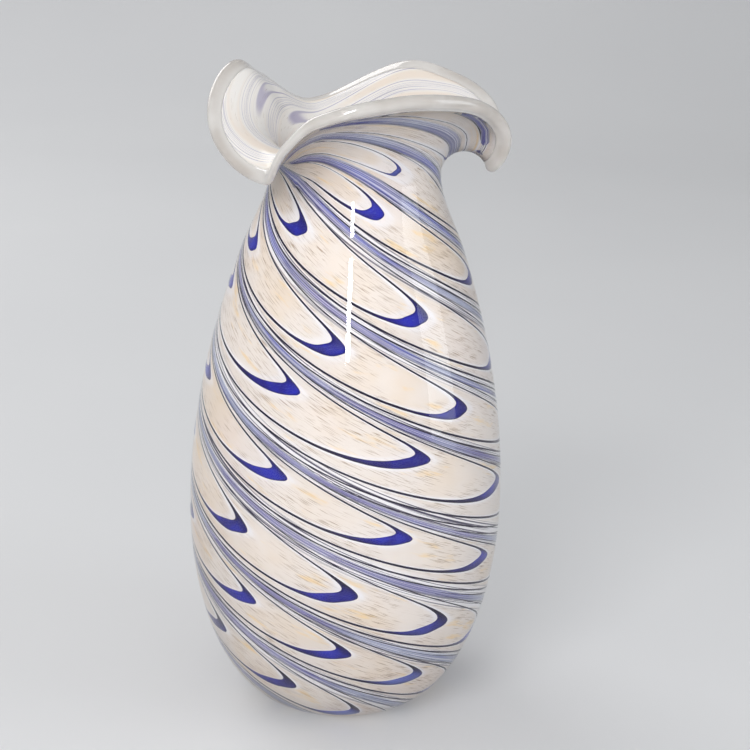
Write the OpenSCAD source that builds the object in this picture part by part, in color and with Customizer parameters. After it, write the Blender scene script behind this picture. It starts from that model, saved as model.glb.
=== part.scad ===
// Hand blown art glass vase. A pear-shaped body stands on a small flat foot and opens
// into a flared lip that was pulled into three raised lobes and three drooping folds.
// The wall is a sandwich of glass layers fused face to face: a white lining, an ivory
// ground, combed threads and streaks pressed flat on it, and a clear casing outside.
// The rim is a clear band with a round edge, and a ground button closes the pontil scar.
// The axis of the body is Z, the vase stands on z = 0, and its front faces -Y.

/* [Body] */
// Radius of the flat foot
foot_r = 36; // [30:0.5:42]
// Radius of the belly, at its widest
belly_r = 72.2; // [68:0.1:76]
// Height of the widest part of the belly
belly_z = 92; // [80:1:105]
// How fast the wall swells above the foot (smaller is fuller)
foot_swell = 0.56; // [0.5:0.01:0.7]
// Radius of the shoulder, half way up its slope
shoulder_r = 49; // [45:0.5:53]
// Height of the shoulder
shoulder_z = 215; // [205:1:222]
// Lean of the wall at the shoulder, in mm of radius for each mm of height
shoulder_lean = -0.36; // [-0.45:0.01:-0.25]
// Radius of the neck, where the lip begins
neck_r = 37; // [33:0.5:41]
// Height of the neck
neck_z = 250; // [240:1:258]

/* [Wall] */
// Thickness of the clear casing
casing_t = 1.6; // [1.2:0.1:2.5]
// Thickness of the threads and streaks pressed between the casing and the ground
thread_t = 0.4; // [0.3:0.05:0.6]
// Thickness of the ivory ground
ground_t = 1.2; // [1:0.1:2]
// Thickness of the white lining
lining_t = 1.8; // [1.4:0.1:2.5]
// Height of the floor inside the vase
floor_z = 10; // [8:0.5:14]

/* [Lip] */
// Bend of the lip where a lobe stands up, in degrees from upright
lobe_bend = 60; // [50:1:68]
// Length of glass from the neck to the top of a lobe
lobe_len = 45.5; // [40:0.5:48]
// Bend of the lip where it folds over and droops
fold_bend = 160; // [145:1:170]
// Length of glass from the neck to the edge of a deep fold
fold_len = 31; // [29:0.5:34]
// Bend of the shallow fold at the back
back_bend = 85; // [75:1:95]
// Length of glass in the shallow fold
back_len = 28.5; // [26:0.5:31]
// Length of the band of clear glass at the rim, for a lip that is 45 mm long
rim_band = 4; // [2:0.5:6]
// How far the rim's round edge stands out past the wall on each side
bead_proud = 0.3; // [0:0.05:0.6]

/* [Pattern] */
// Number of comb strokes around the body
combs = 6; // [5:1:7]
// Turn of the comb strokes for each mm of height, in degrees
twist_rate = 1.74; // [1.4:0.01:2]
// Length of a feather's arms, in rows
arm_rows = 2.6; // [1.5:0.1:3]
// Squareness of a feather's tip
tip_power = 3.4; // [2.5:0.1:5]
// Width of a feather's thread at its tip
feather_w = 5; // [3:0.5:6]
// Width of a feather's thread at the ends of its arms
arm_w = 0.9; // [0.6:0.1:1.5]
// Width of the streak between two columns of feathers
streak_w = 3.5; // [2:0.5:5]

/* [Pontil] */
// Radius of the ground pontil button
pontil_r = 12; // [8:0.5:16]
// Depth of the recess that the button sits in
pontil_recess = 1.5; // [1:0.1:2.5]

/* [Hidden] */
$fn = 96;

// Depths of the layer faces, measured inwards from the outside of the wall
bed_d = casing_t;
ground_d = bed_d + thread_t;
lining_d = ground_d + ground_t;
wall = lining_d + lining_t;

// Steps along the body's outline, and of the lip's grid
body_steps = 44;
lip_sectors = 90;
lip_steps = 6;
bead_steps = 6;
seat_gap = 0.06; // the lip meets the body's top face just inside its edges

// The front of the vase is at this azimuth
front_a = 270;

// Folds and lobes of the lip around the mouth: [azimuth, bend, length]
lip_stations = [
    [-5, fold_bend, fold_len + 3.5],
    [7, 118, 38],
    [18, 88, 41],
    [40, 68, 43.5],
    [68, lobe_bend, lobe_len - 1],
    [115, back_bend, back_len],
    [143, 66, 40.5],
    [166, lobe_bend - 1, lobe_len + 1.5],
    [200, 125, 35.5],
    [230, fold_bend, fold_len],
    [242, 112, 37.5],
    [254, 80, 42],
    [285, lobe_bend, lobe_len],
    [312, lobe_bend + 2, lobe_len],
    [332, 80, 44.5],
    [344, 115, 42.5]
];

// The pattern is laid out along the wall: v is the height on the body, and above the
// neck it grows by lip_rise from there to the rim. All colour stops at the rim's band.
lip_rise = 45;
band_t = 1 - rim_band / lip_rise; // where the band begins, from 0 at the neck to 1
pattern_top = neck_z + lip_rise * band_t - 1;
low_v = 4;
row_count = 11.76; // rows wound while the spacing grows by a factor e
row_grow = 188; // height over which the row spacing doubles
twist_start = 497; // turn of the comb strokes at the foot, in degrees
mouth_turn = 25; // extra turn that flaring the lip gave, just above the neck
mouth_power = 12;

// Combed by hand, the strokes and tips wander: where each tip and the stroke before it
// falls, in strokes around the body, and how far each column's rows sit off the rest
tip_u = [-0.07, 1.1, 2.2, 3, 3.93, 5.05];
stroke_u = [-0.5, 0.5, 1.4, 2.54, 3.46, 4.52];
row_shift = [-0.1, 0.1, 0.15, -0.1, -0.1, 0];
rows_per_comb = 2 / combs; // two threads were wound side by side
arm_side = 0.42; // how near to the comb stroke a feather's arm ends, in columns
tip_room = 10; // a feather's tip stays this far below the top
feather_steps = 20;
streak_steps = 76;

// Cubic curve through two points with given slopes, t from 0 to 1
function hermite(a, b, da, db, t) =
    a * (2 * pow(t, 3) - 3 * pow(t, 2) + 1) + b * (3 * pow(t, 2) - 2 * pow(t, 3))
    + da * (pow(t, 3) - 2 * pow(t, 2) + t) + db * (pow(t, 3) - pow(t, 2));

// Outside radius of the body at height z
function body_r(z) =
    z < belly_z ? foot_r + (belly_r - foot_r) * pow(1 - pow(1 - z / belly_z, 2), foot_swell)
    : z < shoulder_z ? hermite(belly_r, shoulder_r, 0, shoulder_lean * (shoulder_z - belly_z),
                               (z - belly_z) / (shoulder_z - belly_z))
    : hermite(shoulder_r, neck_r, shoulder_lean * (neck_z - shoulder_z), 0,
              (z - shoulder_z) / (neck_z - shoulder_z));

// Change of that radius with height
function body_slope(z) =
    z >= neck_z ? 0
    : let (low = max(0.02, z - 0.05), high = min(neck_z, z + 0.05))
      (body_r(high) - body_r(low)) / (high - low);

// Point of the wall at depth d under the outside, as [radius, height]
function body_at(z, d) =
    let (s = body_slope(z), n = sqrt(1 + s * s))
    [body_r(z) - d / n, z + d * s / n];

// Heights of the outline's points, closer together near the foot
body_zs = [for (i = [0:body_steps]) neck_z * pow(i / body_steps, 1.6)];

// Station i of the lip, counted on past a full turn
function station(i) =
    let (count = len(lip_stations))
    lip_stations[(i + count) % count] + [360 * floor(i / count), 0, 0];

// Slope of the lip's bend and length at a station
function station_slope(i) =
    (station(i + 1) - station(i - 1)) / (station(i + 1)[0] - station(i - 1)[0]);

// Lip values [bend, length] at an azimuth, on a smooth curve through the stations
function lip_values(a) =
    let (
        first = station(0)[0],
        b = (a - first) - 360 * floor((a - first) / 360) + first,
        i = max([for (j = [0:len(lip_stations) - 1]) station(j)[0] <= b ? j : 0]),
        p = station(i),
        q = station(i + 1),
        span = q[0] - p[0],
        t = (b - p[0]) / span
    )
    [for (k = [1, 2])
        hermite(p[k], q[k], station_slope(i)[k] * span, station_slope(i + 1)[k] * span, t)];

// Point of the lip at azimuth a, t from 0 at the neck to 1 at the rim, depth d.
// Each meridian of the lip is an arc, and out carries it past the wall's end.
function lip_at(a, t, d, out = 0) =
    let (
        v = lip_values(a),
        arc_r = v[1] / (v[0] * PI / 180),
        rr = arc_r - wall / 2 + d,
        r = neck_r - wall / 2 + arc_r - rr * cos(v[0] * t) + out * sin(v[0] * t),
        z = neck_z + rr * sin(v[0] * t) + out * cos(v[0] * t)
    )
    [r * cos(a), r * sin(a), z];

// Point of the pattern: azimuth a, height v along the wall, depth d
function wall_at(a, v, d) =
    v < neck_z ? let (p = body_at(v, d)) [p[0] * cos(a), p[0] * sin(a), p[1]]
    : lip_at(a, (v - neck_z) / lip_rise, d);

// Turn of the comb strokes at height v
function twist(v) =
    twist_start - twist_rate * v - mouth_turn * pow(v / (neck_z + 10), mouth_power);

// Height at which a row lies, and the row at a height, counted down from the mouth
function row_v(w) = row_grow * (exp(-w / row_count) - 1);
function row_at(v) = -row_count * ln(1 + v / row_grow);

// Azimuth of a point u comb strokes round from the first one, at height v
function comb_a(u, v) = front_a + u * 360 / combs + twist(v);

// Triangles of a closed skin through rings of points. The rings close on each other
// when loop is true, and end in flat caps when it is false. The first half of a ring's
// sides and the second half are split alike, so that a thin skin keeps its thickness.
function skin_faces(rings, side, loop) = concat(
    [for (i = [0:rings - (loop ? 1 : 2)], j = [0:side - 1], h = [0, 1])
        let (
            a = i * side + j,
            b = i * side + (j + 1) % side,
            c = ((i + 1) % rings) * side + (j + 1) % side,
            d = ((i + 1) % rings) * side + j
        )
        j < side / 2 ? (h == 0 ? [a, b, c] : [a, c, d]) : (h == 0 ? [a, b, d] : [b, c, d])],
    loop ? [] : [for (j = [1:side - 2]) [0, j + 1, j]],
    loop ? [] : [for (j = [1:side - 2]) let (e = (rings - 1) * side) [e, e + j, e + j + 1]]
);

// Shell of the lip between two depths, from the neck to the rim's band
module lip_shell(d_out, d_in) {
    rings = [for (i = [0:lip_sectors - 1]) let (a = i * 360 / lip_sectors) concat(
        [lip_at(a, 0, d_out + seat_gap)],
        [for (j = [1:lip_steps]) lip_at(a, band_t * j / lip_steps, d_out)],
        [for (j = [lip_steps:-1:1]) lip_at(a, band_t * j / lip_steps, d_in)],
        [lip_at(a, 0, d_in - 2 * seat_gap)]
    )];
    side = len(rings[0]);
    polyhedron(
        points = [for (ring = rings, p = ring) p],
        faces = skin_faces(lip_sectors, side, true)
    );
}

// Shell of the body between two depths, closed across the foot
module body_shell(d_out, d_in, z_in) {
    outer = [for (z = body_zs) body_at(z, d_out)];
    inner_all = [for (z = body_zs) body_at(z, d_in)];
    inner = [for (p = inner_all) if (p[1] > z_in + 0.5) p];
    rotate_extrude()
        polygon(concat(
            [[0, outer[0][1]]],
            outer,
            [for (i = [len(inner) - 1:-1:0]) inner[i]],
            [[inner[0][0] - 4, z_in], [0, z_in]]
        ));
}

module opal_lining() {
    color("white") {
        body_shell(lining_d, wall, floor_z);
        lip_shell(lining_d, wall);
    }
}

module ivory_ground() {
    color("antiquewhite") {
        body_shell(ground_d, lining_d, lining_d);
        lip_shell(ground_d, lining_d);
    }
}

module clear_casing() {
    color("lightcyan", 0.35) {
        difference() {
            body_shell(0, bed_d, bed_d);
            translate([0, 0, -1]) cylinder(r = pontil_r, h = 1 + pontil_recess);
        }
        lip_shell(0, bed_d);
    }
}

// Many closed strips as one solid shape, each a list of four-point rings
module strips(all) {
    rings = len(all[0]);
    faces = skin_faces(rings, 4, false);
    polyhedron(
        points = [for (strip = all, ring = strip, p = ring) p],
        faces = [for (k = [0:len(all) - 1], f = faces) [for (i = f) i + k * rings * 4]]
    );
}

// Rings of a strip pressed into the thread bed along a path of [azimuth, height, width],
// each ring square to the path
function bed_strip(path) =
    let (
        middle = [for (p = path) wall_at(p[0], p[1], (bed_d + ground_d) / 2)],
        last = len(path) - 1
    )
    [for (i = [0:last])
        let (
            p = path[i],
            low = wall_at(p[0], p[1], ground_d),
            high = wall_at(p[0], p[1], bed_d),
            side = cross(middle[min(last, i + 1)] - middle[max(0, i - 1)], high - low),
            reach = side / norm(side) * p[2] / 2
        )
        [low - reach, low + reach, high + reach, high - reach]];

// Place around the body of a point in a column: side is -0.5 at the stroke before the
// feather's tip, 0 at the tip and 0.5 at the stroke after it
function column_u(column, side) =
    let (
        i = column % combs,
        lap = column - i,
        next = stroke_u[(i + 1) % combs] + (i + 1 == combs ? combs : 0)
    )
    lap + tip_u[i] + 2 * side * (side < 0 ? tip_u[i] - stroke_u[i] : next - tip_u[i]);

// One feather: a thread pulled into a narrow U whose arms run up two comb strokes
function feather(column, tip_row) =
    let (
        room = (tip_row - row_at(pattern_top)) / arm_rows - 0.1,
        half = arm_side * pow(min(1, room), 1 / tip_power)
    )
    bed_strip([for (i = [0:feather_steps])
        let (
            e = 2 * i / feather_steps - 1,
            side = half * (1 - pow(1 - abs(e), 1.7)) * sign(e),
            v = row_v(tip_row - side * rows_per_comb - arm_rows * pow(abs(2 * side), tip_power))
        )
        [comb_a(column_u(column, side), v), v, arm_w + (feather_w - arm_w) * pow(1 - abs(e), 2)]]);

module cobalt_feathers() {
    first_row = ceil(row_at(pattern_top));
    color("mediumblue")
        strips([for (column = [0:combs - 1], row = [first_row:1:rows_per_comb * combs])
            let (tip_row = row - column * rows_per_comb + row_shift[column])
            if (row_v(tip_row) > low_v && row_v(tip_row) < pattern_top - tip_room)
                feather(column, tip_row)]);
}

// One streak of threads drawn together along a comb stroke, from the foot to the rim
function streak(u) =
    bed_strip([for (i = [0:streak_steps])
        let (v = low_v + (pattern_top - low_v) * (1 - pow(1 - i / streak_steps, 1.6)))
        [comb_a(u, v), v, streak_w]]);

module lilac_streaks() {
    color("slateblue")
        strips([for (u = stroke_u) streak(u)]);
}

// Clear fire-polished band with a round edge, which closes off the ends of all the layers
module rim_bead() {
    bead_r = wall / 2 + bead_proud;
    rings = [for (i = [0:lip_sectors - 1]) let (a = i * 360 / lip_sectors) concat(
        [lip_at(a, band_t, 0)],
        [for (j = [0:bead_steps]) let (b = 180 * j / bead_steps)
            lip_at(a, 1, wall / 2 - bead_r * cos(b), bead_r * sin(b))],
        [lip_at(a, band_t, wall)]
    )];
    color("aliceblue", 0.5)
        polyhedron(
            points = [for (ring = rings, p = ring) p],
            faces = skin_faces(lip_sectors, len(rings[0]), true)
        );
}

// Ground glass button, a shallow lens that stays clear of the surface below
module pontil_button() {
    color("gainsboro")
        rotate_extrude()
            polygon(concat(
                [for (i = [0:8]) let (x = pontil_r * i / 8)
                    [x, pontil_recess - 1 + 0.6 * pow(1 - pow(x / pontil_r, 2), 2)]],
                [[pontil_r, pontil_recess], [0, pontil_recess]]
            ));
}

opal_lining();
ivory_ground();
cobalt_feathers();
lilac_streaks();
clear_casing();
rim_bead();
pontil_button();
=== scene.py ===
# Hand blown art glass vase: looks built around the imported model.
# A white lining, an ivory ground, combed cobalt threads with lilac streaks, a clear casing,
# a clear rim and a ground pontil button, each as its own closed piece.
import math

import bpy
import numpy as np
from mathutils import Matrix, Vector


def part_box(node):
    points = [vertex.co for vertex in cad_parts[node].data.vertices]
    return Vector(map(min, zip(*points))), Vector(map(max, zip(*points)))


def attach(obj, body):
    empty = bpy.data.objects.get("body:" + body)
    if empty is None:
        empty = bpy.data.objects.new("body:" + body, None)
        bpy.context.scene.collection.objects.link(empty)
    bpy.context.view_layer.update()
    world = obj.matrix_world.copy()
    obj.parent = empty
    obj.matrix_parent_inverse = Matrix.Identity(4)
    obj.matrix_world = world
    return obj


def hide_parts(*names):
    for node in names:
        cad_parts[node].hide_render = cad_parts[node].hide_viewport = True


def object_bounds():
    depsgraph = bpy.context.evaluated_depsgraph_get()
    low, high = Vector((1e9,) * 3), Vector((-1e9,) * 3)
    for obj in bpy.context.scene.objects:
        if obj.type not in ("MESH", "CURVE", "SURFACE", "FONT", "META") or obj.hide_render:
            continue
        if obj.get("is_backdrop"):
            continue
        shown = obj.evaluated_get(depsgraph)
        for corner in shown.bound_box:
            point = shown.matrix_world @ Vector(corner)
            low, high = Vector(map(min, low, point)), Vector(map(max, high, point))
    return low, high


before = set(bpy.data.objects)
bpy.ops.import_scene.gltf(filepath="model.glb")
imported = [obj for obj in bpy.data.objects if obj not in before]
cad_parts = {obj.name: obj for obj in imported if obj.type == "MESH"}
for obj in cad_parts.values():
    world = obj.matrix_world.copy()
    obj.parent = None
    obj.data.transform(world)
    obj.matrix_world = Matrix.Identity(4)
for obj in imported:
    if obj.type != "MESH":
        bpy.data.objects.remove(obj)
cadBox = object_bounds()
print("frame loaded:", ", ".join(sorted(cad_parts)))

mm = 0.001


# The form of the glass, in millimetres and degrees
caseLow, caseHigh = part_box("clear_casing")
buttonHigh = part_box("pontil_button")[1]


def depthOf(node):  # how far the outer face of a layer lies under the outside of the wall
    return round((caseHigh.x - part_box(node)[1].x) / mm, 1)


form = {
    "footR": 36,
    "bellyR": (caseHigh.x - caseLow.x) / 2 / mm,
    "bellyZ": 92,
    "footSwell": 0.56,
    "shoulderR": 49,
    "shoulderZ": 215,
    "shoulderLean": -0.36,
    "neckR": 37,
    "neckZ": 250,
    "lipRise": 45,  # the wall's run counts on by this much from the neck to the rim
    "rimBand": 4,  # the last part of that run is clear glass only
    "bedDepth": 1.6,
    "groundDepth": depthOf("ivory_ground"),
    "liningDepth": depthOf("opal_lining"),
    "wall": 5,
    "beadProud": 0.3,
    "floorZ": 10,
    "pontilR": buttonHigh.x / mm,
    "pontilRecess": buttonHigh.z / mm,
}
rimRun = form["neckZ"] + form["lipRise"]
colourTop = rimRun - form["rimBand"]
edgeRuns = (0.8, colourTop - 0.1)  # no thread's edge passes these
threadRuns = (1.5, colourTop - 1)  # no thread's middle passes these

# Folds and lobes around the mouth: azimuth, bend from upright, length from the neck
lipStations = np.array([
    [-5, 160, 34.5],
    [7, 118, 38],
    [18, 88, 41],
    [40, 68, 43.5],
    [68, 60, 44.5],
    [115, 85, 28.5],
    [143, 66, 40.5],
    [166, 59, 47],
    [200, 125, 35.5],
    [230, 160, 31],
    [242, 112, 37.5],
    [254, 80, 42],
    [285, 60, 45.5],
    [312, 62, 45.5],
    [332, 80, 44.5],
    [344, 115, 42.5],
    [355, 160, 34.5],
])
lipRound = np.concatenate([lipStations[-2:-1] - [360, 0, 0], lipStations, lipStations[1:2] + [360, 0, 0]])
lipSlopes = (lipRound[2:] - lipRound[:-2])[:, 1:] / (lipRound[2:] - lipRound[:-2])[:, :1]


def cubic(a, b, slopeA, slopeB, t):
    return (
        a * (2 * t**3 - 3 * t**2 + 1)
        + b * (3 * t**2 - 2 * t**3)
        + slopeA * (t**3 - 2 * t**2 + t)
        + slopeB * (t**3 - t**2)
    )


def bodyRadius(z):
    belly, shoulder, neck = form["bellyZ"], form["shoulderZ"], form["neckZ"]
    low = np.clip(z / belly, 0, 1)
    foot = form["footR"] + (form["bellyR"] - form["footR"]) * (1 - (1 - low) ** 2) ** form["footSwell"]
    lean = form["shoulderLean"]
    middle = cubic(
        form["bellyR"], form["shoulderR"], 0, lean * (shoulder - belly), (z - belly) / (shoulder - belly)
    )
    top = cubic(
        form["shoulderR"], form["neckR"], lean * (neck - shoulder), 0, (z - shoulder) / (neck - shoulder)
    )
    return np.where(z < belly, foot, np.where(z < shoulder, middle, top))


def bodySlope(z):
    small = 0.05
    low = np.maximum(z - small, 0.02)
    high = np.minimum(z + small, form["neckZ"])
    slope = (bodyRadius(high) - bodyRadius(low)) / np.maximum(high - low, 0.01)
    return np.where(z < form["neckZ"], slope, 0)


def lipAt(azimuth, t, depth, out=0):  # each meridian of the lip is an arc, t is 1 at the rim
    first = lipStations[0, 0]
    turned = (azimuth - first) % 360 + first
    before = np.clip(np.searchsorted(lipStations[:, 0], turned, side="right") - 1, 0, len(lipStations) - 2)
    start, end = lipStations[before], lipStations[before + 1]
    span = (end - start)[..., :1]
    share = (turned[..., None] - start[..., :1]) / span
    values = cubic(
        start[..., 1:], end[..., 1:], lipSlopes[before] * span, lipSlopes[before + 1] * span, share
    )
    bend = np.radians(values[..., 0])
    arc = values[..., 1] / bend
    reach = arc - form["wall"] / 2 + depth
    radius = form["neckR"] - form["wall"] / 2 + arc - reach * np.cos(bend * t) + out * np.sin(bend * t)
    return radius, form["neckZ"] + reach * np.sin(bend * t) + out * np.cos(bend * t)


def wallAt(azimuth, run, depth, out=0):  # a point of the wall, as x, y, z
    azimuth, run, depth, out = np.broadcast_arrays(azimuth, run, depth, out)
    slope = bodySlope(run)
    lean = np.sqrt(1 + slope**2)
    lipR, lipZ = lipAt(azimuth, np.maximum(run - form["neckZ"], 0) / form["lipRise"], depth, out)
    onBody = run < form["neckZ"]
    radius = np.where(onBody, bodyRadius(run) - depth / lean, lipR)
    z = np.where(onBody, run + depth * slope / lean, lipZ)
    angle = np.radians(azimuth)
    return np.stack([radius * np.cos(angle), radius * np.sin(angle), z], -1)


# The combed pattern, laid out along the wall
combing = {
    "columns": 6,
    "frontAzimuth": 270,
    "twistStart": 497,
    "twistRate": 1.74,  # degrees of turn for each mm of run
    "mouthTurn": 25,  # a further turn near the mouth, whole at mouthRun
    "mouthRun": 260,
    "mouthPower": 12,
    "rowCount": 11.76,
    "rowGrow": 188,  # run over which the rows' spacing doubles
    "rowsPerColumn": 1 / 3,  # two threads were wound side by side
    "armRows": 3.1,  # how many rows up a feather's arms are drawn
    "tipPower": 3.4,  # squareness of a feather's tip
}
tipPlaces = [-0.07, 1.1, 2.2, 3, 3.93, 5.05]  # where each feather tip falls, in strokes
strokePlaces = [-0.5, 0.5, 1.4, 2.54, 3.46, 4.52]  # the comb stroke before each of them
rowShifts = [-0.1, 0.1, 0.15, -0.1, -0.1, 0]

laps = range(-4, 4)  # the strokes repeat round the vase
comb = combing["columns"]
placeKnots = [p + lap * comb for lap in laps for pair in zip(strokePlaces, tipPlaces) for p in pair]
columnKnots = [i + half + lap * comb for lap in laps for i in range(comb) for half in (-0.5, 0)]
shiftKnots = [i + part for i in range(comb) for part in (-0.5, -0.25, 0.25)]
shiftValues = [
    value for i in range(comb)
    for value in ((rowShifts[i - 1] + rowShifts[i]) / 2, rowShifts[i], rowShifts[i])
]


def twist(run):
    bend = combing["mouthTurn"] * (run / combing["mouthRun"]) ** combing["mouthPower"]
    return combing["twistStart"] - combing["twistRate"] * run - bend


def rowAt(run):
    return -combing["rowCount"] * np.log(1 + run / combing["rowGrow"])


def runOfRow(row):
    return combing["rowGrow"] * (np.exp(-row / combing["rowCount"]) - 1)


def strokesRound(azimuth, run):  # comb strokes round from the first one
    return (azimuth - combing["frontAzimuth"] - twist(run)) * comb / 360


def columnAt(azimuth, run):  # a whole number at each feather's tip, a half at each stroke
    return np.interp(strokesRound(azimuth, run), placeKnots, columnKnots)


def rowShift(column):
    return np.interp(column, shiftKnots, shiftValues, period=comb)


def flatRow(azimuth, run):  # the rows before the comb bent them
    column = columnAt(azimuth, run)
    return rowAt(run) + column * combing["rowsPerColumn"] - rowShift(column)


def azimuthOf(column, run):
    place = np.interp(column, columnKnots, placeKnots)
    return combing["frontAzimuth"] + place * 360 / comb + twist(run)


def addPiece(name, points, faces, maps, finishes, slot, replaced, faceFinish=None):
    mesh = bpy.data.meshes.new(name)
    mesh.from_pydata((points * mm).tolist(), [], faces)
    for mapName, values in maps.items():
        layer = mesh.uv_layers.new(name=mapName)
        layer.data.foreach_set("uv", np.asarray(values, np.float32).ravel())
    mesh.polygons.foreach_set("use_smooth", [True] * len(mesh.polygons))
    for finish in finishes:
        mesh.materials.append(finish)
    if faceFinish is not None:
        mesh.polygons.foreach_set("material_index", faceFinish)
    mesh.validate()
    mesh.update()
    piece = bpy.data.objects.new(name, mesh)
    bpy.context.scene.collection.objects.link(piece)
    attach(piece, "root")
    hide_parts(replaced)
    print(name, len(mesh.polygons), "faces")


sectors = 240


def gridFaces(rows, columns):  # quads between rings of points that close on themselves
    i, j = np.meshgrid(np.arange(rows - 1), np.arange(columns), indexing="ij")
    k = (j + 1) % columns
    faces = np.stack([i * columns + j, i * columns + k, (i + 1) * columns + k, (i + 1) * columns + j], -1)
    return faces.reshape(-1, 4)


def gridCorners(values):  # a value at each corner of those quads, from columns + 1 of them
    corners = np.stack([values[:-1, :-1], values[:-1, 1:], values[1:, 1:], values[1:, :-1]], 2)
    return corners.reshape(-1, values.shape[-1])


# Builds a closed shell of the wall from its profile: rows of [run, depth, out] on the wall, and
# rows of [radius, height] under the foot before them and on the floor after them
def addShell(name, underside, profile, floor, finishes, slot, replaced, innerFrom=None):
    azimuth = np.linspace(0, 360, sectors + 1)[None, :]
    angle = np.radians(azimuth)
    profile = np.array(profile, float)
    run, depth, out = (profile[:, [i]] for i in range(3))
    rings = [wallAt(azimuth, run, depth, out)]
    for place, rows in ((0, underside), (2, floor)):
        if rows:
            radius, z = (np.array(rows, float)[:, [i]] for i in range(2))
            ring = np.stack(np.broadcast_arrays(radius * np.cos(angle), radius * np.sin(angle), z), -1)
            rings.insert(place, ring)
    grid = np.concatenate(rings)
    low, high = len(underside), len(grid) - len(floor)
    runs = np.clip(np.concatenate([[0.5] * low, profile[:, 0], [form["floorZ"]] * len(floor)]), 0.5, rimRun)
    runs = np.broadcast_to(runs[:, None], grid.shape[:2])
    azimuths = np.broadcast_to(azimuth, grid.shape[:2])
    lengths = np.linalg.norm(np.diff(grid[:, 0], axis=0), axis=1) + 0.2
    along = np.concatenate([[0], np.cumsum(lengths)]) / lengths.sum()
    bakeU = 0.01 + 0.98 * azimuths / 360
    bakeV = np.broadcast_to(0.01 + 0.98 * along[:, None], grid.shape[:2])
    wide = {
        "combing": np.stack([columnAt(azimuths, runs), flatRow(azimuths, runs)], -1),
        "glassRun": np.stack([strokesRound(azimuths, runs), runs / 100], -1),
        "OFBake": np.stack([bakeU, bakeV], -1),
    }
    points = grid[:, :-1].reshape(-1, 3)
    faces = gridFaces(len(grid), sectors).tolist()
    maps = {key: list(gridCorners(value)) for key, value in wide.items()}
    rowOfFace = [i for i in range(len(grid) - 1) for _ in range(sectors)]
    if low:  # both ends close on a point in the middle
        first, last = len(points), len(points) + 1
        middles = [[0, 0, grid[0, 0, 2]], [0, 0, grid[-1, 0, 2]]]
        points = np.concatenate([points, middles])
        end = (len(grid) - 1) * sectors
        for j in range(sectors):
            k = (j + 1) % sectors
            faces.append([first, k, j])
            faces.append([last, end + j, end + k])
            for key, value in wide.items():
                maps[key] += [(value[0, j] + value[0, j + 1]) / 2, value[0, j + 1], value[0, j]]
                maps[key] += [(value[-1, j] + value[-1, j + 1]) / 2, value[-1, j], value[-1, j + 1]]
            rowOfFace += [0, len(grid) - 2]
    else:  # a ring that closes on itself
        start = (len(grid) - 1) * sectors
        for j in range(sectors):
            k = (j + 1) % sectors
            faces.append([start + j, start + k, k, j])
            for key, value in wide.items():
                maps[key] += [value[-1, j], value[-1, j + 1], value[-1, j + 1], value[-1, j]]
            rowOfFace.append(len(grid) - 2)
    faceFinish = None
    if innerFrom is not None:
        faceFinish = [int(row >= low + innerFrom) for row in rowOfFace]
    addPiece(name, points, faces, maps, finishes, slot, replaced, faceFinish)


def wallRows(bodyRows, lipRows, depth, top):  # runs up the wall, closer together near the foot
    body = form["neckZ"] * (np.arange(bodyRows) / bodyRows) ** 1.5
    lip = np.linspace(form["neckZ"], top, lipRows + 1)
    return [[run, depth, 0] for run in np.concatenate([body, lip])]


def paint(red, green, blue):  # a screen colour as the shader's linear one
    def linear(value):
        value = value / 255
        return value / 12.92 if value <= 0.04045 else ((value + 0.055) / 1.055) ** 2.4

    return (linear(red), linear(green), linear(blue), 1)


class Wire:  # one socket: sums with it add their Math nodes
    def __init__(self, finish, socket):
        self.finish = finish
        self.socket = socket

    def sum(self, operation, first, second=0):
        return self.finish.add("ShaderNodeMath", {"operation": operation}, {0: first, 1: second})

    def __add__(self, other):
        return self.sum("ADD", self, other)

    def __radd__(self, other):
        return self.sum("ADD", other, self)

    def __sub__(self, other):
        return self.sum("SUBTRACT", self, other)

    def __rsub__(self, other):
        return self.sum("SUBTRACT", other, self)

    def __mul__(self, other):
        return self.sum("MULTIPLY", self, other)

    def __rmul__(self, other):
        return self.sum("MULTIPLY", other, self)

    def __pow__(self, other):
        return self.sum("POWER", self, other)

    def __abs__(self):
        return self.sum("ABSOLUTE", self)

    def __round__(self):
        return self.sum("ROUND", self)

    def max(self, other):
        return self.sum("MAXIMUM", self, other)

    def min(self, other):
        return self.sum("MINIMUM", self, other)

    def rise(self, low, high):  # 0 below low, 1 above high, smooth between them
        settings = {"interpolation_type": "SMOOTHSTEP"}
        sockets = {"Value": self, "From Min": low, "From Max": high}
        return self.finish.add("ShaderNodeMapRange", settings, sockets)


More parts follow.
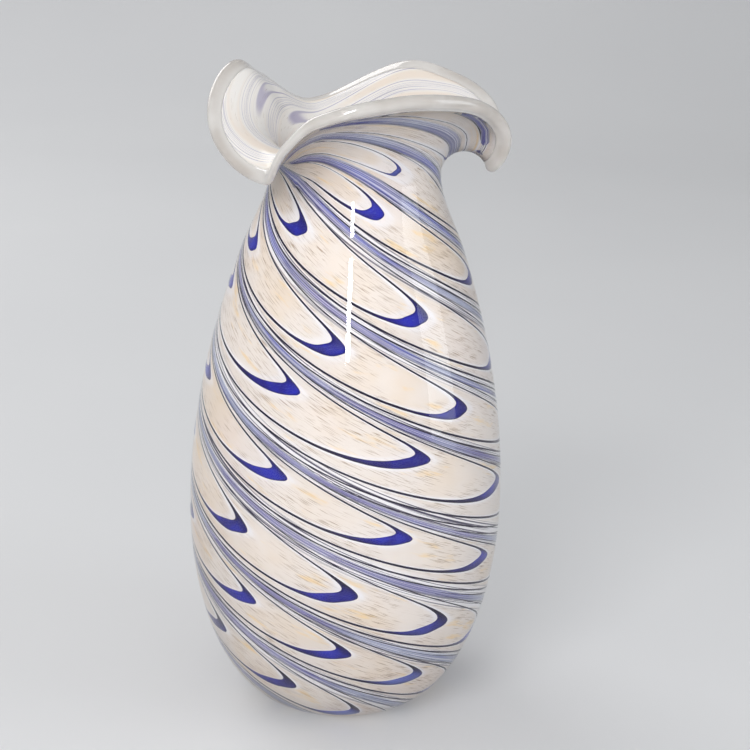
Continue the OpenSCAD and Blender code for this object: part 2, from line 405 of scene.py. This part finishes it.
class Finish:  # one material and its nodes
    def __init__(self, name):
        self.material = bpy.data.materials.new(name)
        self.material.use_nodes = True
        self.tree = self.material.node_tree
        self.tree.nodes.clear()

    def add(self, kind, settings=None, sockets=None, out=0):
        node = self.tree.nodes.new(kind)
        for key, value in (settings or {}).items():
            setattr(node, key, value)
        for key, value in (sockets or {}).items():
            if isinstance(value, Wire):
                self.tree.links.new(value.socket, node.inputs[key])
            else:
                node.inputs[key].default_value = value
        return Wire(self, node.outputs[out]) if node.outputs else None

    def map(self, name):  # both values of one of the mesh's maps
        both = self.add("ShaderNodeUVMap", {"uv_map": name})
        return [self.add("ShaderNodeSeparateXYZ", None, {0: both}, axis) for axis in ("X", "Y")]

    def mix(self, first, second, share):
        return self.add("ShaderNodeMix", {"data_type": "RGBA"}, {0: share, 6: first, 7: second}, 2)

    def place(self, x, y, z=0.0):
        return self.add("ShaderNodeCombineXYZ", None, {"X": x, "Y": y, "Z": z})

    def noise(self, where, scale, detail=2.0, roughness=0.5):
        sockets = {"Vector": where, "Scale": scale, "Detail": detail, "Roughness": roughness}
        return self.add("ShaderNodeTexNoise", None, sockets, "Fac")

    def where(self):
        return self.add("ShaderNodeTexCoord", None, None, "Object")

    def bump(self, height, strength, distance):
        sockets = {"Height": height, "Strength": strength, "Distance": distance}
        return self.add("ShaderNodeBump", None, sockets)

    def gloss(self, sockets):
        return self.add("ShaderNodeBsdfPrincipled", None, sockets)

    def done(self, shader):
        self.add("ShaderNodeOutputMaterial", None, {"Surface": shader})
        return self.material


# Where a point lies in the combed pattern: how far from a feather's middle (0) to the strokes
# beside it (1), and how far from the nearest thread in rows (0 to 0.5)
def combedPlace(finish):
    column, row = finish.map("combing")
    spread = abs(column - round(column)) * 2
    bent = row + spread ** combing["tipPower"] * combing["armRows"]
    return spread, abs(bent - round(bent))


ground = {
    "cream": paint(229, 220, 212),
    "peach": paint(224, 206, 184),
    "rose": paint(229, 216, 211),
    "white": paint(238, 236, 238),
    "amber": paint(238, 202, 128),
    "dash": paint(142, 112, 78),
    "hair": paint(42, 32, 70),
    "hairs": 84.0,  # fine hairs drawn out across one column
    "dashAcross": 74.0,
    "dashAlong": 15.0,
}


def groundFinish():
    f = Finish("ivoryGround")
    spread, gap = combedPlace(f)
    strokes, run = f.map("glassRun")
    column = f.map("combing")[0]
    where = f.where()
    cloudy = f.noise(where, 26, 3, 0.55)
    base = f.mix(ground["cream"], ground["peach"], cloudy.rise(0.42, 0.72) * 0.75)
    base = f.mix(base, ground["rose"], f.noise(where, 14, 2).rise(0.5, 0.75) * 0.6)
    along = f.place(strokes * 5, run * 7)
    patch = f.noise(along, 1.1, 3, 0.6).rise(0.57, 0.72)
    base = f.mix(base, ground["amber"], patch * 0.6)
    flow = f.place(strokes * ground["dashAcross"], run * ground["dashAlong"])
    dashed = f.noise(flow, 1.5, 1.5, 0.45).rise(0.57, 0.65) * f.noise(where, 45, 2).rise(0.36, 0.56)
    base = f.mix(base, ground["dash"], dashed * 0.75)
    bundle = spread.rise(0.6, 0.82)
    halo = (1 - gap.rise(0.1, 0.26)) * spread.rise(0.1, 0.5) * 0.6 + (1 - gap.rise(0.1, 0.16)) * 0.5
    base = f.mix(base, ground["white"], bundle.max(halo.min(1)) * 0.9)
    hairs = f.noise(f.place(column * ground["hairs"], run * 1.2), 1, 1, 0.4).rise(0.55, 0.6)
    base = f.mix(base, ground["hair"], hairs * spread.rise(0.6, 0.78) * 0.95)
    return f.done(f.gloss({
        "Base Color": base,
        "Roughness": 0.55,
        "Specular IOR Level": 0.15,
        "Normal": f.bump(cloudy + dashed * 0.3, 0.15, 0.0005),
    }))


lining = {
    "white": paint(243, 239, 234),
    "cream": paint(240, 228, 200),
    "peach": paint(236, 218, 200),
    "ghost": paint(128, 120, 172),
    "ash": paint(166, 164, 180),
    "speck": paint(150, 120, 84),
}


def liningFinish():  # milky, with the colours behind showing through faintly
    f = Finish("opalWhite")
    spread, gap = combedPlace(f)
    strokes, run = f.map("glassRun")
    where = f.where()
    cloudy = f.noise(where, 20, 3, 0.5)
    base = f.mix(lining["white"], lining["cream"], cloudy.rise(0.52, 0.8) * 0.55)
    base = f.mix(base, lining["peach"], (1 - spread.rise(0.2, 0.6)) * gap.rise(0.18, 0.36) * 0.6)
    ghost = (1 - gap.rise(0.02, 0.1)) * (0.6 + cloudy.rise(0.35, 0.65) * 0.4)
    base = f.mix(base, lining["ghost"], ghost * 0.85)
    flow = f.place(strokes * 26, run * 5)
    wisps = f.noise(flow, 1.2, 2, 0.5).rise(0.53, 0.66)
    base = f.mix(base, lining["ash"], wisps * spread.rise(0.3, 0.8) * 0.7)
    specks = f.noise(f.place(strokes * 40, run * 26), 1.6, 1).rise(0.69, 0.74)
    base = f.mix(base, lining["speck"], specks * (1 - spread.rise(0.3, 0.6)) * 0.6)
    rough = 0.1 + cloudy * 0.06
    bump = f.bump(f.noise(where, 30, 2), 0.08, 0.002)
    return f.done(f.gloss({
        "Base Color": base,
        "Roughness": rough,
        "Specular IOR Level": 0.5,
        "Subsurface Weight": 0.15,
        "Subsurface Radius": (0.004, 0.0036, 0.003),
        "Normal": bump,
    }))


cobalt = {
    "tip": paint(30, 34, 168),
    "deep": paint(22, 14, 116),
    "arm": paint(22, 12, 46),
    "pale": paint(104, 118, 186),
}


def cobaltFinish():
    f = Finish("cobaltThread")
    run, across = f.map("threadRun")
    where = f.where()
    cloudy = f.noise(where, 9, 2)
    base = f.mix(cobalt["deep"], cobalt["tip"], f.noise(where, 60, 3, 0.6).rise(0.35, 0.65))
    base = f.mix(base, cobalt["arm"], run.rise(0.05, 0.34))
    base = f.mix(base, cobalt["pale"], cloudy.rise(0.56, 0.66) * (1 - run.rise(0.08, 0.3)) * 0.7)
    streaks = f.noise(f.place(run * 8, across * 5), 1.5, 2).rise(0.55, 0.7)
    base = f.mix(base, cobalt["pale"], streaks * (1 - run.rise(0.0, 0.2)) * 0.35)
    return f.done(f.gloss({"Base Color": base, "Roughness": 0.4, "Specular IOR Level": 0.2}))


lilac = {
    "violet": paint(112, 107, 158),
    "slate": paint(146, 152, 180),
    "blue": paint(84, 92, 176),
    "white": paint(234, 234, 240),
    "dark": paint(48, 36, 92),
    "stripes": 5.0,
}


def lilacFinish():
    f = Finish("lilacStreak")
    run, across = f.map("threadRun")
    where = f.where()
    base = f.mix(lilac["violet"], lilac["slate"], f.noise(where, 12, 2).rise(0.42, 0.6))
    bluer = f.noise(f.place(across * 0.5, run * 3), 1.4, 2) + run.rise(1.9, 2.5) * 0.12
    base = f.mix(base, lilac["blue"], bluer.rise(0.56, 0.7) * 0.9)
    combed = f.place(across * lilac["stripes"], run * 1.1)
    base = f.mix(base, lilac["white"], f.noise(combed, 1.4, 2, 0.5).rise(0.49, 0.6) * 0.8)
    base = f.mix(base, lilac["dark"], f.noise(combed, 2.3, 1, 0.5).rise(0.58, 0.66) * 0.75)
    base = f.mix(base, lilac["white"], abs(across).rise(0.6, 0.95) * 0.7)
    return f.done(f.gloss({"Base Color": base, "Roughness": 0.4, "Specular IOR Level": 0.2}))


glassIor = 1.5
casing = {
    "tint": paint(250, 251, 253),
    "roughness": 0.02,
    "swell": 0.8,  # heights of the broad waves and of the fine ones in the surface
    "ripple": 0.12,
}


# Clear glass. Its own shadow is left open, so that the light reaches the colours under it.
def casingFinish():
    f = Finish("clearCasing")
    where = f.where()
    height = f.noise(where, 28, 2) * casing["swell"] + f.noise(where, 420, 2) * casing["ripple"]
    glass = f.gloss({
        "Base Color": casing["tint"],
        "Roughness": casing["roughness"],
        "IOR": glassIor,
        "Transmission Weight": 1.0,
        "Normal": f.bump(height, 0.1, 0.0012),
    })
    unseen = f.add("ShaderNodeBsdfTransparent")
    shadow = f.add("ShaderNodeLightPath", None, None, "Is Shadow Ray")
    return f.done(f.add("ShaderNodeMixShader", None, {0: shadow, 1: glass, 2: unseen}))


rim = {
    "clear": paint(222, 214, 206),
    "milk": paint(248, 244, 239),
    "roughness": 0.06,
    "seeThrough": 0.35,
}


def rimFinish():  # clear glass with a trace of milk drawn over it from the lining
    f = Finish("clearRim")
    where = f.where()
    run = f.map("glassRun")[1]
    drawn = run.rise((colourTop + 0.3) / 100, (rimRun - 0.3) / 100)
    bare = drawn * (1 - f.noise(where, 40, 3, 0.55).rise(0.36, 0.66))
    milk = f.mix(rim["milk"], rim["clear"], bare)
    return f.done(f.gloss({
        "Base Color": milk,
        "Roughness": rim["roughness"],
        "IOR": glassIor,
        "Transmission Weight": rim["seeThrough"],
        "Coat Weight": 1.0,
        "Normal": f.bump(f.noise(where, 40, 2), 0.12, 0.0015),
    }))


def fusedFinish():  # the casing's inner face, where it has melted into the ground
    f = Finish("fusedFace")
    return f.done(f.add("ShaderNodeBsdfTransparent"))


pontil = {
    "grey": paint(206, 210, 210),
    "pale": paint(232, 234, 234),
    "roughness": 0.42,
    "grain": 0.2,  # how much rougher the marks of the grinding are
}


def pontilFinish():
    f = Finish("groundGlass")
    where = f.where()
    grain = f.noise(where, 1400, 3, 0.6)
    tone = f.mix(pontil["grey"], pontil["pale"], f.noise(where, 160, 3).rise(0.35, 0.65))
    return f.done(f.gloss({
        "Base Color": tone,
        "Roughness": pontil["roughness"] + grain * pontil["grain"],
        "IOR": glassIor,
        "Normal": f.bump(grain, 0.25, 0.0003),
    }))


# Depths of the layers' faces under the outside of the wall
bed, under, lined, wall = (form[key] for key in ("bedDepth", "groundDepth", "liningDepth", "wall"))


def footRows(radii, z):
    return [[radius, z] for radius in radii]


addShell(
    "opalLining",
    footRows([6, 18, 30], lined),
    wallRows(60, 16, lined, colourTop)
    + [row for row in wallRows(100, 40, wall, colourTop)[::-1] if row[0] > 7],
    [[44, 10.6], [40, 10.05], [30, 10.1], [18, 10.8], [7, 11.4]],
    [liningFinish()], "opal_white", "opal_lining",
)

addShell(
    "ivoryGround",
    footRows([6, 18, 30], under),
    wallRows(110, 40, under, colourTop) + wallRows(50, 16, lined, colourTop)[::-1],
    footRows([30, 18, 6], lined),
    [groundFinish()], "ivory_ground", "ivory_ground",
)

recess = form["pontilR"]
casingOuter = wallRows(120, 44, 0, colourTop)
addShell(
    "clearCasing",
    [[4, form["pontilRecess"]], [recess, form["pontilRecess"]], [recess + 0.15, 0.5], [recess + 0.8, 0.03],
     [recess + 1.6, 0], [20, 0], [28, 0]],
    casingOuter + wallRows(60, 20, bed, colourTop)[::-1],
    footRows([30, 18, 6], bed),
    [casingFinish(), fusedFinish()],
    "clear_casing", "clear_casing",
    innerFrom=len(casingOuter),
)

beadR = wall / 2 + form["beadProud"]
beadTurns = np.radians(np.linspace(0, 180, 13))
beadRows = (
    [[run, form["beadProud"] * -(run - colourTop) / form["rimBand"], 0]
     for run in np.linspace(colourTop, rimRun, 5)[:-1]]
    + [[rimRun, wall / 2 - beadR * math.cos(b), beadR * math.sin(b)] for b in beadTurns]
    + [[run, wall + form["beadProud"] * (run - colourTop) / form["rimBand"], 0]
       for run in np.linspace(rimRun, colourTop, 5)[1:]]
)
addShell(
    "rimBead", [], beadRows, [],
    [rimFinish()], "clear_rim", "rim_bead",
)

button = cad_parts["pontil_button"]
button.data.materials.clear()
button.data.materials.append(pontilFinish())
print("pontil button finished")


# The step of a mm square across a field's lines, and how fast the field changes along it
def slopes(azimuth, run, field):
    small = 0.02
    byAzimuth = (field(azimuth + small, run) - field(azimuth - small, run)) / (2 * small)
    byRun = (field(azimuth, run + small) - field(azimuth, run - small)) / (2 * small)
    alongAzimuth = (wallAt(azimuth + small, run, under) - wallAt(azimuth - small, run, under)) / (2 * small)
    alongRun = (wallAt(azimuth, run + small, under) - wallAt(azimuth, run - small, under)) / (2 * small)
    aa, ar, rr = (np.sum(p * q, -1) for p, q in (
        (alongAzimuth, alongAzimuth), (alongAzimuth, alongRun), (alongRun, alongRun)
    ))
    area = np.maximum(aa * rr - ar**2, 1e-9)
    stepAzimuth = (rr * byAzimuth - ar * byRun) / area
    stepRun = (aa * byRun - ar * byAzimuth) / area
    steep = np.sqrt(np.maximum(byAzimuth * stepAzimuth + byRun * stepRun, 1e-12))
    return stepAzimuth / steep, stepRun / steep, steep


# A thread pressed flat in its bed, thick in the middle and thin at the edges: places across
# it from -1 to 1, and heights
threadSection = [(-1, 0.0), (-0.6, 0.7), (0, 1.0), (0.6, 0.7), (1, 0.0), (0, -0.3)]


def threadPoints(placeAcross):
    deep, high = under + 0.02, bed + 0.02
    sides = []
    for across, height in threadSection:
        azimuth, run = placeAcross(across)
        sides.append(wallAt(azimuth, run, deep + (high - deep) * height))
    return np.stack(sides, 1)


def addThreads(name, threads, finish, slot, replaced):
    points, faces, runs, bakes = [], [], [], []
    around = len(threadSection)
    start = 0
    lanes = len(threads)
    for lane, (rings, share) in enumerate(threads):
        count = len(rings)
        points.append(rings.reshape(-1, 3))
        faces += (gridFaces(count, around) + start).tolist()
        acrossValues = np.array([p[0] for p in threadSection] + [-1.0])
        lanesAcross = (lane + 0.08 + 0.84 * np.linspace(0, 1, around + 1)) / lanes
        shares = np.broadcast_to(share[:, None], (count, around + 1))
        places = np.broadcast_to(np.linspace(0.01, 0.99, count)[:, None], (count, around + 1))
        runs.append(gridCorners(np.stack([shares, np.broadcast_to(acrossValues, shares.shape)], -1)))
        bakes.append(gridCorners(np.stack([places, np.broadcast_to(lanesAcross, shares.shape)], -1)))
        end = start + (count - 1) * around
        capFace = list(range(around))
        for ring, face, i in ((start, capFace[::-1], 0), (end, capFace, -1)):
            faces.append([ring + k for k in face])
            runs.append(np.array([[share[i], acrossValues[k]] for k in face]))
            bakes.append(np.array([[places[i, 0], lanesAcross[k]] for k in face]))
        start += count * around
    maps = {"threadRun": np.concatenate(runs), "OFBake": np.concatenate(bakes)}
    addPiece(name, np.concatenate(points), faces, maps, [finish], slot, replaced)


feather = {
    "armSide": 0.485,  # how near to the stroke an arm ends, in columns
    "crowding": 1.8,  # how much closer together an arm's stations lie at its end
    "stations": 80,  # along each arm
    "fewest": 5,  # stations in the shortest stretch that is drawn
    "tipRun": 4.2,  # run that the thread takes at its tip, and at the ends of its arms
    "armRun": 0.7,
    "lean": 0.1,  # how far the thickest place lies down the lower arm
    "falloff": 2.6,  # how fast the thickness falls off from there
    "tipHalf": 0.62,  # least half widths at the tip and at the ends of the arms
    "armHalf": 0.2,
    "squareFrom": 0.35,  # share of an arm where its sections start to turn square to it
    "squareOver": 0.3,  # share of the arm that they take to turn
    "taper": 4,  # stations over which an end thins out
    "lipReach": 0.7,  # most that a thread on the lip spreads along its stroke, to each side
    "bodyReach": 0.6,  # how much more it may spread for each mm below the lip
    "sag": 0.35,  # a thread is left out where its steps would cut a bend by more than this
    "lastRow": 8,
}


def featherBend(place, column):  # rows by which the comb bent a thread back beside a tip
    side = place - column
    side = side - np.round(side / comb) * comb
    return combing["armRows"] * np.abs(2 * side) ** combing["tipPower"]


def featherRun(row, place, column):
    straight = row - place * combing["rowsPerColumn"] + rowShift(place)
    return np.clip(runOfRow(straight - featherBend(place, column)), *edgeRuns)


def drawable(azimuth, run):  # where a thread lies on the coloured wall and in no sharp bend
    inside = (run > threadRuns[0]) & (run < threadRuns[1])
    middle = wallAt(azimuth, run, bed)
    halfway = wallAt((azimuth[1:] + azimuth[:-1]) / 2, (run[1:] + run[:-1]) / 2, bed)
    sag = np.linalg.norm(halfway - (middle[1:] + middle[:-1]) / 2, axis=1)
    inside[1:] &= sag < feather["sag"]
    inside[:-1] &= sag < feather["sag"]
    return inside


def stretches(inside):  # the unbroken ones that are long enough to draw
    edges = np.flatnonzero(np.diff(np.concatenate([[0], inside.astype(int), [0]])))
    pairs = zip(edges[::2], edges[1::2])
    return [slice(first, last) for first, last in pairs if last - first >= feather["fewest"]]


def feathers():
    threads = []
    e = np.linspace(-1, 1, 2 * feather["stations"] + 1)  # -1 and 1 at the arms' ends, 0 at the tip
    side = feather["armSide"] * (1 - (1 - np.abs(e)) ** feather["crowding"]) * np.sign(e)
    near = (1 - np.minimum(np.abs(e + feather["lean"]), 1) ** 2) ** feather["falloff"]
    taken = feather["armRun"] + (feather["tipRun"] - feather["armRun"]) * near
    least = feather["armHalf"] + (feather["tipHalf"] - feather["armHalf"]) * near
    squared = np.clip((np.abs(e) - feather["squareFrom"]) / feather["squareOver"], 0, 1)
    step = 0.2
    for column in range(comb):
        def field(azimuth, run, column=column):
            return flatRow(azimuth, run) + featherBend(columnAt(azimuth, run), column)

        for row in range(math.ceil(rowAt(colourTop - 0.5)), feather["lastRow"] + 1):
            allRuns = featherRun(row, column + side, column)
            allAzimuths = azimuthOf(column + side, allRuns)
            for part in stretches(drawable(allAzimuths, allRuns)):
                place, run, azimuth = column + side[part], allRuns[part], allAzimuths[part]
                stepAzimuth, stepRun, steep = slopes(azimuth, run, field)
                stepped = columnAt(azimuth + stepAzimuth * step, run + stepRun * step)
                turned = (stepped - columnAt(azimuth, run)) / step
                rowsPerRun = combing["rowCount"] / (combing["rowGrow"] + run)
                half = np.maximum(taken[part] / 2 * rowsPerRun, least[part] * steep)
                fromEnd = np.minimum(np.arange(len(run)), np.arange(len(run))[::-1])
                half = half * np.clip((fromEnd + 0.6) / feather["taper"], 0.15, 1)
                below = np.maximum(form["neckZ"] + 4 - run, 0)
                half = np.minimum(half, (feather["lipReach"] + feather["bodyReach"] * below) * rowsPerRun)
                push = squared[part] * turned * half / steep

                def placeAcross(across, place=place, half=half, push=push, row=row, column=column):
                    edge = featherRun(row + across * half, place + across * push, column)
                    return azimuthOf(place + across * push, edge), edge

                threads.append((threadPoints(placeAcross), np.abs(e[part])))
    return threads


addThreads("cobaltFeathers", feathers(), cobaltFinish(), "cobalt_thread", "cobalt_feathers")

streak = {
    "halfWidth": 1.6,
    "footHalfWidth": 2.9,  # at the foot, falling to halfWidth at footTop
    "footTop": 90,
    "lipHalfWidth": 2.6,  # on the lip, rising from halfWidth at lipLow over lipOver
    "lipLow": 215,
    "lipOver": 35,
    "swell": (0.18, 17),  # how much the width wanders, and over what run
    "ripple": (0.1, 6.1),
    "stations": 240,
}


def streaks():
    threads = []
    run = np.linspace(*threadRuns, streak["stations"])
    low = np.clip(1 - run / streak["footTop"], 0, 1)
    high = np.clip((run - streak["lipLow"]) / streak["lipOver"], 0, 1)
    width = streak["halfWidth"] + (streak["lipHalfWidth"] - streak["halfWidth"]) * high
    width = width + (streak["footHalfWidth"] - streak["halfWidth"]) * low
    (swell, swellRun), (ripple, rippleRun) = streak["swell"], streak["ripple"]
    for column in range(comb):
        azimuth = azimuthOf(column - 0.5 + 0 * run, run)
        stepAzimuth, stepRun = slopes(azimuth, run, columnAt)[:2]
        wander = swell * np.sin(run / swellRun + column * 2.1) + ripple * np.sin(run / rippleRun + column)
        half = width * (1 + wander)

        def placeAcross(across, azimuth=azimuth, reach=half * stepAzimuth, rise=half * stepRun):
            return azimuth + across * reach, np.clip(run + across * rise, *edgeRuns)

        threads.append((threadPoints(placeAcross), run / 100))
    return threads


addThreads("lilacStreaks", streaks(), lilacFinish(), "lilac_streak", "lilac_streaks")


backdrop = {
    "half": 3.0,  # the floor's half width, and how far it runs to the front
    "bendStart": 1.2,
    "bend": 0.9,  # radius of the curve into the wall
    "top": 3.2,
    "grey": paint(224, 224, 225),
    "pale": paint(231, 231, 231),
}
floorMesh = bpy.data.meshes.new("floor")


def sweepPoints():  # a flat floor that curves up into a wall at the back
    half, start, bend = (backdrop[key] for key in ("half", "bendStart", "bend"))
    rows = [(-half, 0)] + [(y, 0) for y in np.linspace(-half / 2, start, 8)]
    angles = np.linspace(0.15, math.pi / 2, 10)
    rows += [(start + bend * math.sin(a), bend * (1 - math.cos(a))) for a in angles]
    rows.append((start + bend, backdrop["top"]))
    return [(x, y, z) for y, z in rows for x in (-half, half)]


sweep = sweepPoints()
floorMesh.from_pydata(
    sweep, [], [[2 * i, 2 * i + 1, 2 * i + 3, 2 * i + 2] for i in range(len(sweep) // 2 - 1)]
)
floorMesh.polygons.foreach_set("use_smooth", [True] * len(floorMesh.polygons))
floor = bpy.data.objects.new("floor", floorMesh)
bpy.context.scene.collection.objects.link(floor)


def floorFinish():
    f = Finish("paleFloor")
    tone = f.mix(backdrop["grey"], backdrop["pale"], f.noise(f.where(), 3, 2))
    return f.done(f.gloss({"Base Color": tone, "Roughness": 0.7, "Specular IOR Level": 0.2}))


floorMesh.materials.append(floorFinish())
floor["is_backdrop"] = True


def addLight(name, place, target, size, watts, tint=(1, 1, 1), glossy=True):
    light = bpy.data.lights.new(name, "AREA")
    light.shape = "RECTANGLE"
    light.size, light.size_y = size
    light.energy = watts
    light.color = tint
    lamp = bpy.data.objects.new(name, light)
    bpy.context.scene.collection.objects.link(lamp)
    lamp.location = place
    lamp.visible_glossy = glossy
    lamp.rotation_euler = (Vector(target) - Vector(place)).to_track_quat("-Z", "Y").to_euler()


addLight("keySoftbox", (-0.75, -1.5, 1.5), (0, 0, 0.16), (0.9, 0.9), 14, glossy=False)
addLight("stripLight", (-0.05, -1.45, 0.76), (0, -0.05, 0.2), (0.1, 0.62), 7)
addLight("sideSoftbox", (1.3, -0.35, 0.45), (0, 0, 0.17), (0.6, 0.9), 3.5, (0.9, 0.95, 1))
addLight("backFill", (-0.9, 1.0, 1.2), (0, 0, 0.2), (1.0, 1.0), 8)

studio = {
    "sky": (0.95, 0.97, 1, 1),
    "skyStrength": 0.42,
}
world = bpy.data.worlds.new("studio")
world.use_nodes = True
sky = world.node_tree.nodes["Background"].inputs
sky["Color"].default_value = studio["sky"]
sky["Strength"].default_value = studio["skyStrength"]
bpy.context.scene.world = world
bpy.context.scene.view_settings.view_transform = "Standard"

view = {
    "place": (0, -0.6535, 0.3909),
    "aim": (0.0117, 0, 0.1551),
    "roll": 2.2,
    "lens": 73.36,
}
camera = bpy.data.objects.new("camera", bpy.data.cameras.new("camera"))
bpy.context.scene.collection.objects.link(camera)
toward = (Vector(view["aim"]) - Vector(view["place"])).to_track_quat("-Z", "Y").to_matrix().to_4x4()
tilt = Matrix.Rotation(math.radians(view["roll"]), 4, "Z")
camera.matrix_world = Matrix.Translation(view["place"]) @ toward @ tilt
camera.data.lens = view["lens"]
bpy.context.scene.camera = camera
print("studio ready")

{"cad": [list(corner) for corner in cadBox], "visual": [list(corner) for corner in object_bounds()]}
